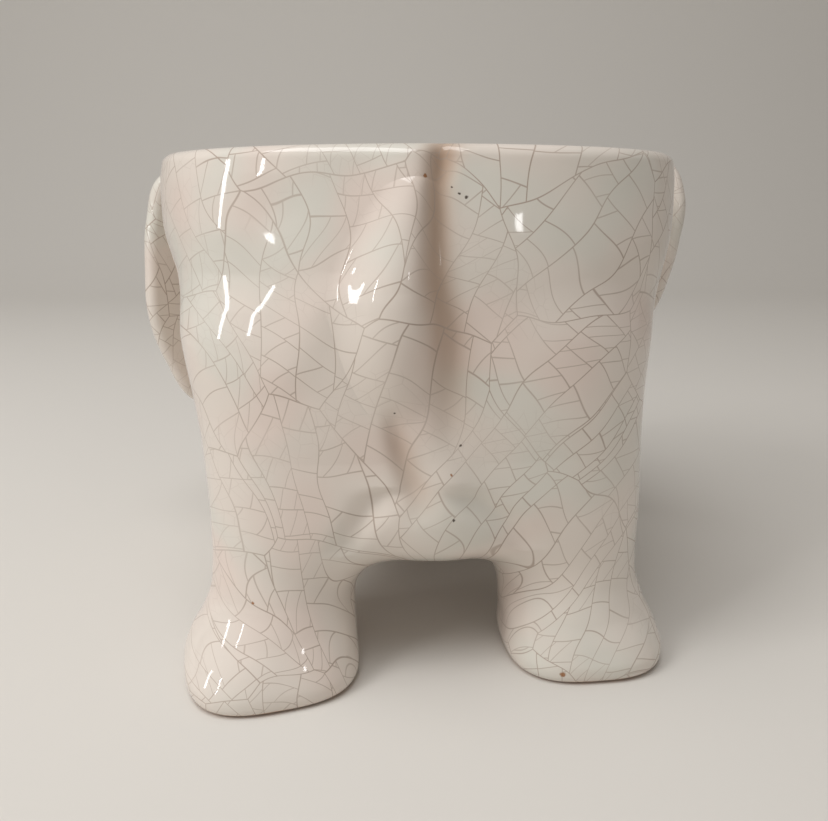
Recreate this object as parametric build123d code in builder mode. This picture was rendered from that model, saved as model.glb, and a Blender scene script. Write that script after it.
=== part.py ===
from build123d import *
import os
from math import copysign, cos, pi, radians, sin

# Elephant planter in cast clay: a hollow body that is the pot, four legs, head, trunk, ears, eyes and tail,
# formed separately and luted together. +Y is where the elephant looks, +X its right, +Z up, floor at Z = 0.
# Sizes are taken from the upright axis of the pot; the finished pieces are then moved along Y together, so
# that the origin is on the floor under the middle of the whole elephant.

# Pot: the hollow body, as outside widths (X) and lengths (Y) at its rim, at the flank and waist, which are
# measured down from the rim, and at the belly, which rises straight for a while above its rounded lower edge
rim_height = 150.0
rim_width = 151.0
rim_length = 140.0
flank_drop = 20.0
flank_width = 154.0
flank_length = 145.0
waist_drop = 50.0
waist_width = 139.0
waist_length = 144.0
belly_width = 126.0
belly_length = 141.0
belly_clearance = 31.0
belly_rounding = 26.0
belly_rise = 13.0
wall = 7.0
floor_thickness = 8.0
rim_flat = 0.4  # level strip on top of the rim, between its two rounded edges
plan_squareness = 2.6  # exponent of the plan outline: 2 is an ellipse, more is squarer

# Legs: centre of each foot from the middle plane and from the pot axis
hind_stance = 47.5
hind_reach = 49.5
hind_stagger = 9.0  # the left hind foot stands this much further back than the right one
haunch_lean = 2.5  # the croup leans this much to the left
fore_stance = 45.0
fore_reach = 43.0
sole_thickness = 6.0
vent_diameter = 4.0

# Legs: radius at each height, and how much further in than its foot the leg stands there
sole_radius = 24.5
toe_height = 9.0
toe_radius = 26.6
ankle_height = 24.0
ankle_radius = 22.2
ankle_inset = 3.8
knee_height = 48.0
knee_radius = 22.0
knee_inset = 5.0
haunch_height = 80.0
haunch_radius = 25.0
haunch_inset = 7.8
croup_height = 99.0
croup_radius = 26.0
croup_inset = 9.0
hind_top_height = 116.0
hind_top_radius = 22.0
hind_top_inset = 15.5
elbow_height = 48.0
elbow_radius = 21.5
elbow_inset = 4.2
shoulder_height = 76.0
shoulder_radius = 22.0
shoulder_inset = 8.5
fore_top_height = 108.0
fore_top_radius = 18.0
fore_top_inset = 15.0

# Head: widths and lengths of its level sections, up or down from the centre of the skull, which lies down from
# the rim and forward of the pot axis
skull_forward = 64.0
skull_drop = 44.0
skull_width = 83.0
skull_length = 72.0
crown_rise = 41.0
crown_width = 47.0
crown_length = 46.0
crown_rounding = 11.0
brow_rise = 26.0
brow_width = 73.0
brow_length = 65.0
jaw_drop = 20.0
jaw_width = 77.0
jaw_length = 72.0
chin_drop = 44.0
chin_width = 47.0
chin_length = 59.0
chin_rounding = 15.0
eye_diameter = 8.0
eye_spacing = 54.0
eye_rise = 7.0
eye_sunk = 1.5  # how far its centre lies below the skin of the head

# Trunk: points of its centre line, all forward of the skull's centre: the root is measured down from that
# centre, the tip up from the floor, and the hanging part is spaced evenly between them; then its radius at
# both ends
trunk_root_line = [(12.0, 4.0), (31.0, 18.0)]
trunk_hang_forward = [37.0, 35.5]
trunk_tip_line = [(38.0, 33.0), (46.0, 25.0)]
trunk_root_radius = 20.0
trunk_tip_radius = 8.5
trunk_tip_rounding = 4.0

# Ears: lobes swept back along the front corners of the pot, as points outwards along the lobe and down from
# the rim; the left one has a longer lobe than the right one
ear_sweep = 40.0
ear_thickness = 7.0
ear_gap = 1.5  # between the ear and the widest part of the pot
ear_rounding = 2.5
ear_left_outline = [
    (-24.0, 24.0),
    (6.0, 7.0),
    (34.0, 2.0),
    (49.0, 8.0),
    (54.5, 22.0),
    (58.5, 48.0),
    (52.5, 75.0),
    (42.0, 92.0),
    (26.0, 99.0),
    (6.0, 92.0),
    (-14.0, 73.0),
    (-26.0, 50.0),
]
ear_right_outline = [
    (-24.0, 24.0),
    (6.0, 7.0),
    (38.0, 1.0),
    (52.5, 4.0),
    (58.5, 16.0),
    (55.0, 32.0),
    (50.5, 47.0),
    (44.0, 64.0),
    (34.0, 80.0),
    (20.0, 88.0),
    (2.0, 85.0),
    (-16.0, 71.0),
    (-26.0, 50.0),
]

# Tail: distance down from the rim, sideways place, half width and how far it stands proud of the rump
tail_sections = [
    (3.0, 0.3, 7.5, 2.5),
    (15.0, -3.5, 9.5, 6.0),
    (30.0, -6.7, 9.8, 7.0),
    (47.0, -8.0, 8.5, 6.0),
    (58.0, -9.0, 6.0, 4.5),
    (65.0, -9.3, 2.5, 1.5),
]
tail_root_depth = 4.0  # clay behind the tail that the rump takes up

skull_height = rim_height - skull_drop
rim_rounding = (wall - rim_flat) / 2
pot_stations = [
    (belly_clearance + belly_rounding, belly_width, belly_length),
    (belly_clearance + belly_rounding + belly_rise, belly_width, belly_length),
    (rim_height - waist_drop, waist_width, waist_length),
    (rim_height - flank_drop, flank_width, flank_length),
    (rim_height - rim_rounding, rim_width, rim_length),
]
room_rounding = belly_rounding - wall
room_bottom = belly_clearance + floor_thickness
room_stations = [(room_bottom + room_rounding, belly_width, belly_length)] + pot_stations[1:]
edge_steps = 4
head_stations = [
    (skull_height - chin_drop, chin_width, chin_length),
    (skull_height - jaw_drop, jaw_width, jaw_length),
    (skull_height, skull_width, skull_length),
    (skull_height + brow_rise, brow_width, brow_length),
    (skull_height + crown_rise, crown_width, crown_length),
]
head_room_stations = head_stations[1:-1]
outline_points = 32


def plan_section(height, width, length, forward=0.0):
    """Level section of the pot or the head: a superellipse drawn as one closed curve."""
    points = []
    for step in range(outline_points):
        across = cos(2 * pi * step / outline_points)
        along = sin(2 * pi * step / outline_points)
        power = 2 / plan_squareness
        x = width / 2 * copysign(abs(across) ** power, across)
        y = length / 2 * copysign(abs(along) ** power, along)
        points.append((x, forward + y))
    with BuildSketch(Plane.XY.offset(height)) as section:
        with BuildLine():
            Spline(points, periodic=True)
        make_face()
    return section.sketch


def inside(width, length):
    """Width and length of a level section that lies a wall's thickness inside another one."""
    return width - 2 * wall, length - 2 * wall


def inset_sections(stations, forward=0.0):
    """Level sections of a form that lies a wall's thickness inside another one."""
    return [plan_section(height, *inside(width, length), forward) for height, width, length in stations]


def edge_sections(height, rise, rounding, width, length, turn):
    """Level sections of a quarter round that ends at a height.

    Rise is 1 for an upper edge and -1 for a lower one; turn is -1 where it draws in and 1 where it opens out.
    """
    sections = []
    for step in range(edge_steps + 1):
        angle = pi / 2 * step / edge_steps
        level = height - rise * rounding * (1 - sin(angle))
        change = turn * 2 * rounding * (1 - cos(angle))
        sections.append(plan_section(level, width + change, length + change))
    return sections


def rump_at(height):
    """Distance from the pot axis back to the outside of the pot at a height."""
    level = pot_form.part.intersect(Plane.XY.offset(height))
    return -min(face.bounding_box().min.Y for face in level.faces())


def pot_support(direction):
    """Distance from the pot axis to the upright plane that touches the pot and faces a direction from +Y."""
    turned = Rot(0, 0, direction) * pot_form.part
    return turned.bounding_box().max.Y


def leg_centre(side, front, height):
    """Plan place of a leg, before its inset: side is -1 left or 1 right, front is -1 hind or 1 fore.

    The stagger of the hind feet fades out on the way up to the haunch, and their lean begins at the knee.
    """
    if front > 0:
        return side * fore_stance, fore_reach
    stagger = side * hind_stagger / 2 * max(0.0, 1 - height / haunch_height)
    lean = haunch_lean * max(0.0, height - knee_height) / (croup_height - knee_height)
    return side * hind_stance - lean, stagger - hind_reach


def leg_sections(side, front, skin):
    """Round sections of one leg from its sole up into the body; skin is the clay left round its hollow."""
    foot = [
        (sole_thickness if skin else 0.0, 0.0, sole_radius),
        (toe_height, 0.0, toe_radius),
        (ankle_height, ankle_inset, ankle_radius),
    ]
    hind = [
        (knee_height, knee_inset, knee_radius),
        (haunch_height, haunch_inset, haunch_radius),
        (croup_height, croup_inset, croup_radius),
        (hind_top_height, hind_top_inset, hind_top_radius),
    ]
    fore = [
        (elbow_height, elbow_inset, elbow_radius),
        (shoulder_height, shoulder_inset, shoulder_radius),
        (fore_top_height, fore_top_inset, fore_top_radius),
    ]
    sections = []
    for height, inset, radius in foot + (fore if front > 0 else hind):
        x, y = leg_centre(side, front, height)
        with BuildSketch(Plane.XY.offset(height)) as section:
            with Locations((x - side * inset, y - front * inset)):
                Circle(radius - skin)
        sections.append(section.sketch)
    return sections


def trunk_sections():
    """Round sections square to the trunk's centre line, tapering evenly from root to tip."""
    root = [(forward, skull_height - drop) for forward, drop in trunk_root_line]
    fall = (root[-1][1] - trunk_tip_line[0][1]) / (len(trunk_hang_forward) + 1)
    hang = [(forward, root[-1][1] - fall * (step + 1)) for step, forward in enumerate(trunk_hang_forward)]
    points = [(0, skull_forward + forward, height) for forward, height in root + hang + trunk_tip_line]
    with BuildLine() as line:
        Spline(points)
    path = line.edges()[0]
    last = len(points) - 1
    sections = []
    for step in range(last + 1):
        square = Plane(origin=path @ (step / last), x_dir=(1, 0, 0), z_dir=path % (step / last))
        with BuildSketch(square) as section:
            Circle(trunk_root_radius + (trunk_tip_radius - trunk_root_radius) * step / last)
        sections.append(section.sketch)
    return sections


def ear_plane(side):
    """Upright plane through the middle of an ear, with its first axis running out and back along the lobe."""
    stand_off = pot_support(ear_sweep) + ear_gap + ear_thickness / 2
    facing = Vector(side * sin(radians(ear_sweep)), cos(radians(ear_sweep)), 0)
    outwards = Vector(side * cos(radians(ear_sweep)), -sin(radians(ear_sweep)), 0)
    corner = facing * stand_off + Vector(0, 0, rim_height)
    return Plane(origin=corner, x_dir=outwards, z_dir=facing * -side)


def eye_centre(side):
    """Place of an eye just under the skin of the head, on a line forward at its spacing and height."""
    line = Axis((side * eye_spacing / 2, skull_forward, skull_height + eye_rise), (0, 1, 0))
    skin = max(point.Y for point, normal in head_form.part.find_intersection_points(line))
    return side * eye_spacing / 2, skin - eye_sunk, skull_height + eye_rise


# Outside form of the pot, which also cuts whatever is luted to it
with BuildPart() as pot_form:
    loft(sections=[plan_section(*station) for station in pot_stations])
    loft(sections=edge_sections(belly_clearance, -1, belly_rounding, belly_width, belly_length, -1))
    loft(sections=edge_sections(rim_height, 1, rim_rounding, rim_width, rim_length, -1))

# Room inside the pot: its outside form set in by the wall, on the floor
with BuildPart() as pot_room:
    loft(sections=inset_sections(room_stations))
    loft(sections=edge_sections(room_bottom, -1, room_rounding, *inside(belly_width, belly_length), -1))
    loft(sections=edge_sections(rim_height, 1, rim_rounding, *inside(rim_width, rim_length), 1))

# Outside form of the head, without its hollow
with BuildPart() as head_form:
    loft(sections=[plan_section(*station, skull_forward) for station in head_stations])
    fillet(head_form.faces().sort_by(Axis.Z)[0].edges(), chin_rounding)
    fillet(head_form.faces().sort_by(Axis.Z)[-1].edges(), crown_rounding)

# Hollow of the head: its form set in by the wall
with BuildPart() as head_room:
    loft(sections=inset_sections(head_room_stations, skull_forward))

with BuildPart() as pot:
    add(pot_form.part)
    add(pot_room.part, mode=Mode.SUBTRACT)

with BuildPart() as hind_leg_left:
    loft(sections=leg_sections(-1, -1, 0.0))
    loft(sections=leg_sections(-1, -1, wall), mode=Mode.SUBTRACT)
    add(pot_form.part, mode=Mode.SUBTRACT)
    with Locations((*leg_centre(-1, -1, 0.0), sole_thickness)):
        Hole(vent_diameter / 2, depth=sole_thickness)

with BuildPart() as hind_leg_right:
    loft(sections=leg_sections(1, -1, 0.0))
    loft(sections=leg_sections(1, -1, wall), mode=Mode.SUBTRACT)
    add(pot_form.part, mode=Mode.SUBTRACT)
    with Locations((*leg_centre(1, -1, 0.0), sole_thickness)):
        Hole(vent_diameter / 2, depth=sole_thickness)

with BuildPart() as fore_leg_left:
    loft(sections=leg_sections(-1, 1, 0.0))
    loft(sections=leg_sections(-1, 1, wall), mode=Mode.SUBTRACT)
    add(pot_form.part, mode=Mode.SUBTRACT)
    with Locations((*leg_centre(-1, 1, 0.0), sole_thickness)):
        Hole(vent_diameter / 2, depth=sole_thickness)

with BuildPart() as fore_leg_right:
    loft(sections=leg_sections(1, 1, 0.0))
    loft(sections=leg_sections(1, 1, wall), mode=Mode.SUBTRACT)
    add(pot_form.part, mode=Mode.SUBTRACT)
    with Locations((*leg_centre(1, 1, 0.0), sole_thickness)):
        Hole(vent_diameter / 2, depth=sole_thickness)

with BuildPart() as head:
    add(head_form.part)
    add(head_room.part, mode=Mode.SUBTRACT)
    add(pot_form.part, mode=Mode.SUBTRACT)

with BuildPart() as trunk:
    loft(sections=trunk_sections())
    tip = trunk.faces().filter_by(GeomType.PLANE).sort_by(Axis.Z)[0]
    fillet(tip.edges(), trunk_tip_rounding)
    add(head_form.part, mode=Mode.SUBTRACT)

with BuildPart() as ear_left:
    with BuildSketch(ear_plane(-1)):
        with BuildLine():
            Spline([(out, -drop) for out, drop in ear_left_outline], periodic=True)
        make_face()
    extrude(amount=ear_thickness / 2, both=True)
    fillet(ear_left.edges(), ear_rounding)
    add(head_form.part, mode=Mode.SUBTRACT)

with BuildPart() as ear_right:
    with BuildSketch(ear_plane(1)):
        with BuildLine():
            Spline([(out, -drop) for out, drop in ear_right_outline], periodic=True)
        make_face()
    extrude(amount=ear_thickness / 2, both=True)
    fillet(ear_right.edges(), ear_rounding)
    add(head_form.part, mode=Mode.SUBTRACT)

with BuildPart() as eye_right:
    with Locations(eye_centre(1)):
        Sphere(eye_diameter / 2)
    add(head_form.part, mode=Mode.SUBTRACT)

with BuildPart() as eye_left:
    mirror(eye_right.part, about=Plane.YZ)

with BuildPart() as tail:
    for drop, sideways, half_width, proud in tail_sections:
        height = rim_height - drop
        half_depth = (proud + tail_root_depth) / 2
        with BuildSketch(Plane.XY.offset(height)):
            with Locations((sideways, half_depth - proud - rump_at(height))):
                Ellipse(half_width, half_depth)
    loft()
    add(pot_form.part, mode=Mode.SUBTRACT)

pieces = {
    "pot": pot,
    "hind_leg_left": hind_leg_left,
    "hind_leg_right": hind_leg_right,
    "fore_leg_left": fore_leg_left,
    "fore_leg_right": fore_leg_right,
    "head": head,
    "trunk": trunk,
    "ear_left": ear_left,
    "ear_right": ear_right,
    "eye_left": eye_left,
    "eye_right": eye_right,
    "tail": tail,
}
rear_end = min(piece.part.bounding_box().min.Y for piece in pieces.values())
front_end = max(piece.part.bounding_box().max.Y for piece in pieces.values())
middle = (rear_end + front_end) / 2

os.makedirs("parts", exist_ok=True)
for name, piece in pieces.items():
    piece.part.position = (0, -middle, 0)
    piece.part.label = name
    export_step(piece.part, f"parts/{name}.step")
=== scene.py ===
import math

import bpy
import numpy as np
from mathutils import Matrix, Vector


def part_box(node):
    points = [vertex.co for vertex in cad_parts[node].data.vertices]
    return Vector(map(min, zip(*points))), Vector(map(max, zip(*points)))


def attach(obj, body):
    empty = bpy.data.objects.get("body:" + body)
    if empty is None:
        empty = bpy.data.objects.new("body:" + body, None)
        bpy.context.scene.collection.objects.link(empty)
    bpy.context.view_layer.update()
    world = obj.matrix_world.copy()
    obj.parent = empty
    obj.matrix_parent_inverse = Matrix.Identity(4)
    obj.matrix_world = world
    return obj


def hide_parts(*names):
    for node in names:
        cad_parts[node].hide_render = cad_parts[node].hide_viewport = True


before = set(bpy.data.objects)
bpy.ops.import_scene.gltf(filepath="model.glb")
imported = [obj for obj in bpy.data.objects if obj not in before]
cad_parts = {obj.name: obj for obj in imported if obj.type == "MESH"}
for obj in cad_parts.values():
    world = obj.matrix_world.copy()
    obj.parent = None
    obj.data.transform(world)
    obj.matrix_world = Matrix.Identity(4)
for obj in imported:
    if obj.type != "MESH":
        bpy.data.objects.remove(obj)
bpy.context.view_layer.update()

# Elephant planter in white earthenware under a clear crackle glaze. All sizes below are millimetres,
# measured from the upright axis of the pot: x to the elephant's right, y forward, z up from the floor.
MM = 0.001
POT_LOW, POT_HIGH = (np.array(corner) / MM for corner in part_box("pot"))
AXIS_Y = (POT_LOW[1] + POT_HIGH[1]) / 2
RIM_HEIGHT = POT_HIGH[2]
BELLY_CLEARANCE = POT_LOW[2]

# Pot: half width and half length of the wall at each height, above the seam where the bowl begins
BOWL_SEAM = 70.0
HALF_WIDTHS = [
    (70.0, 63.0), (85.0, 65.5), (100.0, 69.5), (115.0, 74.5), (130.0, 77.0), (142.0, 76.6), (150.0, 75.3),
]
HALF_LENGTHS = [
    (70.0, 71.0), (85.0, 72.4), (100.0, 73.0), (115.0, 72.6), (130.0, 71.5), (142.0, 70.2), (150.0, 69.4),
]
PLAN_SQUARENESS = 2.6
BOWL_SQUARENESS = 4.0
WALL = 7.0
FLOOR_TOP = BELLY_CLEARANCE + 8.0
SAG_START, SAG_RUN = 110.0, 40.0  # the dip of the rim begins at this height and grows over this run
SAG_DEPTH, SAG_HALF_WIDTH = 1.4, 75.0

# Relief of the rump: soft folds and ridges as rows of height, place in x, half width and how far they rise
RUMP_FOLDS = {
    "groove beside the tail": [
        (70.0, 6.5, 4.5, 0.0), (84.0, 5.1, 4.5, -1.2), (102.0, 4.4, 4.2, -1.9), (122.0, 1.4, 3.2, -2.2),
        (139.0, 1.7, 2.8, -2.2), (147.0, 2.9, 3.2, -2.4), (152.0, 3.2, 3.4, -1.4),
    ],
    "root of the tail": [
        (116.0, -7.6, 8.0, 0.0), (128.0, -6.2, 8.5, 1.2), (140.0, -4.6, 8.5, 2.4), (152.0, -3.4, 8.5, 1.6),
    ],
    "cleft under the tail": [
        (52.0, -1.5, 4.0, 0.0), (58.0, -2.3, 4.0, -0.9), (65.0, -4.5, 3.4, -1.5), (74.0, -7.5, 3.0, -1.6),
        (83.0, -9.0, 2.8, -0.9), (89.0, -8.5, 2.8, 0.0),
    ],
    "rise beside the cleft": [
        (33.0, 4.0, 11.0, 0.9), (46.0, 4.5, 10.0, 1.0), (65.0, 5.0, 6.5, 1.2), (80.0, 0.0, 6.0, 0.9),
        (92.0, -2.0, 6.0, 0.0),
    ],
    "left thigh fold": [
        (42.0, -24.5, 4.2, 0.0), (46.0, -22.4, 4.0, -1.6), (54.0, -17.9, 3.8, -2.2), (60.0, -13.5, 3.8, -1.8),
        (64.0, -8.0, 4.2, 0.0),
    ],
    "right thigh fold": [
        (42.0, 29.0, 4.2, 0.0), (46.0, 26.6, 4.0, -1.2), (54.0, 19.2, 3.8, -2.0), (59.0, 12.5, 3.8, -2.0),
        (64.0, 7.0, 4.2, 0.0),
    ],
    "left haunch ridge": [
        (88.0, -38.0, 6.5, 0.0), (97.0, -35.0, 6.5, 1.2), (110.0, -27.5, 6.5, 1.2), (120.0, -22.0, 6.5, 0.0),
    ],
    "left loin hollow": [
        (110.0, -48.0, 9.0, 0.0), (118.0, -46.0, 9.0, -0.9), (132.0, -40.0, 9.0, -1.1),
        (144.0, -36.0, 9.0, 0.0),
    ],
}
RUMP_START, RUMP_RUN = 25.0, 25.0  # the folds begin so far behind the axis and are full after this run

# Folds painted brown as painted shade, where shade falls in them, how much wider than them it is, and its
# full depth
SHADED_FOLDS = ("groove beside the tail", "cleft under the tail")
SHADE_WIDENING, SHADE_DEPTH = 1.6, 2.4

# Legs: height, distance from the middle in x, place in y, and radius; the hind feet stand a little apart in y
HIND_STAGGER = 9.0
STAGGER_HEIGHT = 80.0  # the legs come level again at this height
HAUNCH_LEAN = 0.05  # share of the height above the knee by which the haunches lean to the left
KNEE_HEIGHT = 48.0
HIND_LEGS = {
    -1: [
        (0.0, 46.6, -49.5, 25.2), (5.0, 46.6, -49.2, 25.7), (10.0, 46.0, -48.2, 24.9),
        (18.0, 44.0, -46.2, 22.9), (28.0, 42.4, -45.0, 21.3), (48.0, 41.2, -44.4, 21.0),
        (80.0, 38.4, -42.5, 23.8), (99.0, 38.0, -40.5, 25.0), (116.0, 32.0, -34.0, 21.0),
        (126.0, 26.0, -27.0, 8.0),
    ],
    1: [
        (0.0, 49.0, -49.5, 23.9), (5.0, 49.0, -49.2, 24.4), (10.0, 48.4, -48.2, 23.8),
        (18.0, 46.4, -46.2, 22.4), (28.0, 44.8, -45.0, 21.3), (48.0, 43.8, -44.4, 21.2),
        (80.0, 39.8, -42.5, 24.0), (99.0, 38.0, -40.5, 25.0), (116.0, 32.0, -34.0, 21.0),
        (126.0, 26.0, -27.0, 8.0),
    ],
}
FORE_LEG = [
    (0.0, 45.0, 43.0, 24.0), (9.0, 45.0, 43.0, 26.8), (16.0, 43.8, 41.8, 25.6), (24.0, 41.6, 39.6, 22.4),
    (34.0, 41.0, 39.0, 21.6), (48.0, 40.8, 38.8, 21.5), (76.0, 36.5, 34.5, 22.0), (108.0, 30.0, 28.0, 18.0),
    (118.0, 24.0, 22.0, 6.0),
]
FOOT_ROUNDING = 3.2
FOOT_HEIGHT = 26.0  # the hind legs turn from round to squarish below this height
FOOT_SQUARENESS = 0.9
FOOT_TURNS = {-1: math.radians(14.0), 1: math.radians(4.0)}
LEG_BLEND = 18.0
LEG_HEADROOM = 12.0

# Tail: sideways place at each height, and two melted lobes as height, half sizes and depth in the rump
TAIL_LINE = [(84.0, -8.6), (96.0, -9.2), (108.0, -9.0), (122.0, -7.6), (138.0, -4.6), (150.0, -2.2)]
TAIL_LOBES = [(107.0, (10.8, 22.0, 10.2), 3.4), (116.0, (9.8, 26.0, 9.2), 4.9)]
TAIL_LOBE_BLEND = 8.0
TAIL_BLEND = 7.0
TAIL_ROOM = ((-28.0, -84.0, 72.0), (22.0, -60.0, 150.0))
TAIL_STEP = 0.7

# Head: ellipsoids as centre and half sizes, the brow and the cheek for one side; the eyes lie as in the CAD
SKULL = ((0.0, 64.0, 106.0), (42.0, 36.0, 42.0))
BROW = ((17.0, 80.0, 126.0), (19.0, 17.0, 19.0))
CHEEK = ((22.0, 80.0, 92.0), (18.0, 17.0, 20.0))
MUZZLE = ((0.0, 76.0, 84.0), (27.0, 23.0, 24.0))
MIDLINE_ROUNDING = 6.0
FACE_BLEND = 8.0
HEAD_BLEND = 10.0
HEAD_ROOM = ((-54.0, 46.0, 50.0), (54.0, 104.0, 152.0))
EYE_LOW, EYE_HIGH = (np.array(corner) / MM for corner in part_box("eye_right"))
EYE = tuple((EYE_LOW + EYE_HIGH) / 2 - np.array([0.0, AXIS_Y, 0.0]))
EYE_RADIUS = 3.7
LID_RADIUS, LID_WIDTH, LID_HEIGHT = 5.4, 1.3, 1.1

# Trunk: forward place and height along its line, radii at both ends, and shallow rings between two heights
TRUNK_LINE = [(76.0, 102.0), (95.0, 88.0), (101.0, 69.7), (99.5, 51.3), (101.0, 33.0), (106.0, 26.0)]
TRUNK_RADII = (20.0, 8.5)
TRUNK_TAPER = 0.85
TRUNK_LINKS = 40
RING_TOP, RING_TOP_RUN = 84.0, 16.0
RING_FOOT, RING_FOOT_RUN = 28.0, 8.0
RING_SPACING, RING_HEIGHT = 6.5, 0.35
TRUNK_BLEND = 8.0
TRUNK_ROOM = ((-30.0, 70.0, 14.0), (30.0, 122.0, 126.0))

# Ears: outline of each as distance out along its swept plane and height, on a softly cupped plate
EAR_SWEEP = math.radians(40.0)
EAR_STAND_OFF = 84.5
EAR_HALF_THICKNESS = 3.5
EAR_OUTLINES = {
    -1: [
        (-24.0, 126.0), (6.0, 143.0), (34.0, 147.5), (49.0, 142.0), (54.5, 128.0), (57.0, 110.0),
        (57.5, 94.0), (52.0, 75.0), (42.0, 58.0), (26.0, 51.0), (6.0, 58.0), (-14.0, 77.0), (-26.0, 100.0),
    ],
    1: [
        (-24.0, 126.0), (6.0, 143.0), (38.0, 148.5), (53.0, 146.5), (58.0, 136.0), (57.5, 119.0),
        (54.0, 103.0), (46.0, 86.0), (34.0, 70.0), (20.0, 62.0), (2.0, 65.0), (-16.0, 79.0),
        (-26.0, 100.0),
    ],
}
EAR_CENTRE = (14.0, 106.0)
EAR_EDGE_SLANT = 0.92  # the edge is nearer than it looks along a ray from the centre
EAR_CUP, EAR_CUP_ACROSS, EAR_CUP_UP = 1.6, 16.0, 30.0
EAR_FLAT = 0.4  # half thickness of the plate before its rounding
EAR_EDGE_ROUNDING = EAR_HALF_THICKNESS - 0.5
EAR_BLEND = 6.0
EAR_ROOM_LOW, EAR_ROOM_HIGH = 14.0, 8.0

# Glaze: colours, and the net of cracks, family by family, as spacing, depth of stain and the share of its
# cells that the next family leaves whole
WARM_WHITE, GREENISH_WHITE, PINKISH_WHITE = "#dfd5cb", "#d8d4ca", "#dfd0c6"
# The first colour here is brown painted shade for the groove beside the tail and the cleft under it
GROOVE_SHADE_BROWN, CRACK_STAIN, BARE_CLAY = "#ac8e76", "#ad9c8f", "#b58a62"
GLAZE_ROUGHNESS, BARE_ROUGHNESS = 0.05, 0.7  # the second is added where the clay is bare
GLAZE_IOR = 1.52
BEND_SIZE = 40.0
BEND_REACH = 24.0
FIELD_SIZE, FIELD_RANDOMNESS = 34.0, 0.9
CRACKS = [(10.0, 0.85, 0.0), (7.5, 0.75, 0.5), (5.5, 0.65, 0.0)]
CRACK_WAYS = ((0.9, 0.44, 0.0), (-0.3, 0.95, 0.0), (0.95, -0.3, 0.0))
CRACK_RANDOMNESS = 0.85
CRACK_CORE, CRACK_WIDTH = 0.06, 0.26
HAUNCH_PLACE, HAUNCH_TURN, RANDOM_TURN = 45.0, 0.6, 0.9  # how far round a haunch lies, and turns in radians
FIELD_PHASE, CELL_PHASE = 57.3, 93.7  # large enough to give every cell a phase of its own
HAIR_SIZE, HAIR_CORE, HAIR_WIDTH, HAIR_DEPTH = 4.2, 0.02, 0.22, 0.4
PATCH_SIZE = 24.0
WHOLE_RADIUS, CRAZED_RADIUS = 16.0, 46.0
TINT_SIZE = 34.0
SWELL_SIZE, SWELL_HEIGHT = 10.0, 0.12
PINHOLE, RUST = "#3b2c20", "#96602f"
CHIPS = [
    (5.1, 140.0, 0.3, PINHOLE), (6.8, 138.6, 0.35, PINHOLE), (8.6, 137.8, 0.55, PINHOLE),
    (-1.3, 142.6, 0.45, RUST), (-8.8, 85.0, 0.3, PINHOLE), (8.3, 75.5, 0.35, PINHOLE),
    (5.9, 67.7, 0.4, RUST), (6.8, 54.6, 0.45, PINHOLE), (-48.6, 29.0, 0.45, RUST), (39.5, 4.0, 0.9, RUST),
]
CHIPS_BEHIND = -60.0
CHIP_RAGGEDNESS, CHIP_GRAIN = 0.8, 1.4

# Plan of the skin on which the cracks are laid out: round the pot's axis, round the head's, and flat for
# the ears, with the head and the ears far enough along it to have cracks of their own
PLAN_RADIUS, PLAN_MIDDLE = 68.0, 70.0
PLAN_FALL = 0.8
PLAN_SPREAD, PLAN_ROUNDING, PLAN_PARTING = 0.9, 3.0, 0.3
HEAD_PLAN_START, HEAD_PLAN_RADIUS, HEAD_PLAN_AXIS = 300.0, 42.0, 40.0
EAR_PLAN_START, EAR_PLAN_STRETCH = 900.0, 1.3

# Luting and tracing
ROOT_DEPTH = 3.5  # how deep a luted piece reaches into the clay that carries it
LUTE_TOP = RIM_HEIGHT - 4.5  # no luted piece reaches above the rounded rim
TOP_ROUNDING = 6.0
TUCK = 0.03  # how far the feathered edge of a luted piece lies under the skin that it runs out on
HIDDEN_DEPTH = 0.4  # skin that lies deeper than this in the carrier is its root
TRACE_STEP = 0.9

# Stage, in metres: the paper, the light from all round, and lamps as name, place, width, height and power
PAPER, STUDIO_LIGHT, STUDIO_STRENGTH = "#dad6d0", "#d2cfcb", 0.52
LAMPS = [
    ("left_strip", (-0.92, -0.31, 0.30), 0.05, 0.24, 0.50),
    ("near_strip", (-0.72, -0.62, 0.34), 0.03, 0.20, 0.30),
    ("right_pane", (0.456, -0.875, 0.28), 0.04, 0.06, 0.09),
    ("left_panel", (-0.95, -0.55, 1.0), 0.5, 0.5, 6.5),
    ("top_panel", (-0.25, -0.30, 1.15), 0.8, 0.6, 6.0),
]
LAMP_AIM = (0.0, 0.0, 0.08)


def through(stations, at):
    """Smooth curve through (place, value) stations: cubic pieces whose slopes never overshoot."""
    place, value = np.array(stations, float).T
    gap = np.diff(place)
    rise = np.diff(value) / gap
    product = rise[:-1] * rise[1:]
    middle = np.where(product > 0, 2 * product / np.where(product > 0, rise[:-1] + rise[1:], 1.0), 0.0)
    slope = np.concatenate([rise[:1], middle, rise[-1:]])
    piece = np.clip(np.searchsorted(place, at) - 1, 0, len(gap) - 1)
    t = np.clip((at - place[piece]) / gap[piece], 0.0, 1.0)
    start, end = value[piece], value[piece + 1]
    start_slope, end_slope = slope[piece] * gap[piece], slope[piece + 1] * gap[piece]
    return (
        (1 + 2 * t) * (1 - t) ** 2 * start
        + t * (1 - t) ** 2 * start_slope
        + t * t * (3 - 2 * t) * end
        - t * t * (1 - t) * end_slope
    )


def melt(first, second, width):
    """Union of two distance fields whose corner is filled over a width, as slip fills a luted seam."""
    share = np.clip(0.5 + 0.5 * (second - first) / width, 0.0, 1.0)
    return second + (first - second) * share - width * share * (1 - share)


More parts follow.
